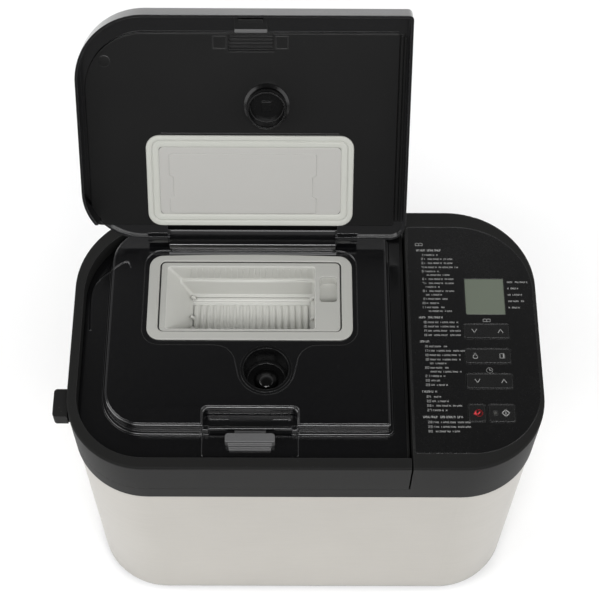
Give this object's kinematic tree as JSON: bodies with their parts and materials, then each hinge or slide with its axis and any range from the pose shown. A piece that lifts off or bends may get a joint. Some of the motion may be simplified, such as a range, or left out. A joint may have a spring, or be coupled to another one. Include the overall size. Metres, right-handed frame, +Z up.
{
  "type": "bread machine",
  "caption": "Countertop bread machine: steel body, hinged lid with raisin and yeast dispensers under a second lid, keypad at the right, pan, kneading drive and heater inside.",
  "frame": {"origin": "middle of the steel body's footprint, on the surface that the rubber feet stand on", "axes": "+X to the user's right, where the control panel is; +Y to the back, where the lids are hinged; +Z up"},
  "size_m": [0.4195, 0.3405, 0.5072],
  "materials": {
    "steel": "brushed, satin",
    "rim_plastic": "fine satin",
    "gloss_black": "high gloss",
    "liner_black": "semi gloss",
    "base_black": "textured",
    "foot_rubber": "matt",
    "tray_grey": "semi gloss",
    "pad_silicone": "matt",
    "pad_plate": "satin",
    "latch_grey": "satin",
    "valve_black": "gloss",
    "key_black": "semi gloss",
    "lcd_glass": "clear",
    "lcd_panel": "lcd",
    "lamp_lens": "clear",
    "sheet_steel": "bare",
    "chamber_steel": "heat stained",
    "bright_steel": "plated",
    "heater_sheath": "oxidised",
    "cast_alloy": "cast",
    "nonstick": "non-stick",
    "bush_bronze": "sintered",
    "belt_rubber": "matt",
    "nylon_white": "moulded",
    "gasket_silicone": "matt",
    "motor_steel": "zinc",
    "board_green": "solder mask"
  },
  "bodies": {
    "root": {"steel_case": "steel", "base_tray": "base_black", "feet": "foot_rubber", "chassis_plate": "sheet_steel", "chassis_screws": "bright_steel", "cord_inlet": "base_black", "upper_housing": "rim_plastic", "control_overlay": "gloss_black", "hinge_brackets": "base_black", "oven_chamber": "chamber_steel", "heater": "heater_sheath", "heater_clips": "chamber_steel", "temp_sensor": "bright_steel", "pan_socket": "cast_alloy", "bearing_housing": "cast_alloy", "drive_belt": "belt_rubber", "motor": "motor_steel", "power_board": "board_green", "control_board": "board_green", "lcd_module": "lcd_panel", "lcd_window": "lcd_glass", "start_lamp": "lamp_lens"},
    "kneader": {"drive_shaft": "bright_steel", "large_pulley": "nylon_white", "drive_coupling": "cast_alloy", "pan_coupling": "cast_alloy", "pan_shaft": "bright_steel", "kneading_blade": "nonstick"},
    "motor_rotor": {"motor_shaft": "bright_steel", "motor_pulley": "nylon_white"},
    "pan": {"bread_pan": "nonstick", "pan_foot": "cast_alloy", "pan_bush": "bush_bronze"},
    "pan_bail": {"pan_handle": "bright_steel"},
    "main_lid": {"lid_rim": "rim_plastic", "lid_deck": "gloss_black", "inner_lid": "chamber_steel", "lid_screws": "bright_steel", "lid_gasket": "gasket_silicone", "hinge_block": "gloss_black", "hinge_pins": "bright_steel", "dispenser_frame": "tray_grey", "dispenser_tray": "tray_grey", "solenoids": "motor_steel", "yeast_cup": "liner_black"},
    "top_lid": {"top_lid_shell": "gloss_black", "top_lid_liner": "liner_black", "pad_frame": "pad_silicone", "pad_plate": "pad_plate", "yeast_plug": "liner_black", "lid_pull": "rim_plastic", "lid_hook": "liner_black"},
    "raisin_flap": {"dispenser_flap": "tray_grey"},
    "valve": {"yeast_valve": "valve_black"},
    "latch": {"latch_slider": "latch_grey"},
    "key_menu": {"menu_key": "key_black"},
    "key_size_crust": {"size_crust_key": "key_black"},
    "key_timer": {"timer_key": "key_black"},
    "key_stop": {"stop_key": "key_black"},
    "key_start": {"start_key": "key_black"}
  },
  "joints": [
    {"name": "main_lid_hinge", "type": "hinge", "parent": "root", "child": "main_lid", "pos_m": [-0.0325, 0.1205, 0.303], "axis": [-1, 0, 0], "range_deg": [0, 75]},
    {"name": "top_lid_hinge", "type": "hinge", "parent": "main_lid", "child": "top_lid", "pos_m": [-0.0475, 0.095, 0.32], "axis": [1, 0, 0], "range_deg": [0, 124]},
    {"name": "raisin_flap_hinge", "type": "hinge", "parent": "main_lid", "child": "raisin_flap", "pos_m": [-0.04925, 0.06, 0.266], "axis": [1, 0, 0], "range_deg": [0, 75], "stiffness_Nm_per_rad": 0.03, "springref_deg": -57.3},
    {"name": "yeast_valve_lift", "type": "slide", "parent": "main_lid", "child": "valve", "axis": [0, 0, 1], "range_m": [0, 0.005], "stiffness_N_per_m": 150, "springref_m": -0.004},
    {"name": "latch_slide", "type": "slide", "parent": "main_lid", "child": "latch", "axis": [0, 1, 0], "range_m": [0, 0.003], "stiffness_N_per_m": 400, "springref_m": -0.002},
    {"name": "kneader_spin", "type": "hinge", "parent": "root", "child": "kneader", "pos_m": [-0.055, -0.005, 0.06], "axis": [0, 0, 1], "continuous": true},
    {"name": "motor_spin", "type": "hinge", "parent": "root", "child": "motor_rotor", "pos_m": [0.13, -0.005, 0.06], "axis": [0, 0, 1], "continuous": true},
    {"name": "pan_twist", "type": "hinge", "parent": "root", "child": "pan", "pos_m": [-0.055, -0.005, 0.092], "axis": [0, 0, 1], "range_deg": [0, 10]},
    {"name": "pan_bail_swing", "type": "hinge", "parent": "pan", "child": "pan_bail", "pos_m": [-0.055, -0.005, 0.222], "axis": [-1, 0, 0], "range_deg": [0, 25]},
    {"name": "menu_rock", "type": "hinge", "parent": "root", "child": "key_menu", "pos_m": [0.1578, 0.0039, 0.3028], "axis": [0, 1, 0], "range_deg": [-1.5, 1.5], "stiffness_Nm_per_rad": 0.5},
    {"name": "size_crust_rock", "type": "hinge", "parent": "root", "child": "key_size_crust", "pos_m": [0.1578, -0.0205, 0.3028], "axis": [0, 1, 0], "range_deg": [-1.5, 1.5], "stiffness_Nm_per_rad": 0.5},
    {"name": "timer_rock", "type": "hinge", "parent": "root", "child": "key_timer", "pos_m": [0.1578, -0.0446, 0.3028], "axis": [0, 1, 0], "range_deg": [-1.5, 1.5], "stiffness_Nm_per_rad": 0.5},
    {"name": "stop_press", "type": "slide", "parent": "root", "child": "key_stop", "axis": [0, 0, -1], "range_m": [0, 0.0007], "stiffness_N_per_m": 1200, "springref_m": -0.0003},
    {"name": "start_press", "type": "slide", "parent": "root", "child": "key_start", "axis": [0, 0, -1], "range_m": [0, 0.0007], "stiffness_N_per_m": 1200, "springref_m": -0.0003}
  ],
  "couplings": [
    {"joint": "motor_spin", "follows": "kneader_spin", "ratio": 4.4951}
  ]
}
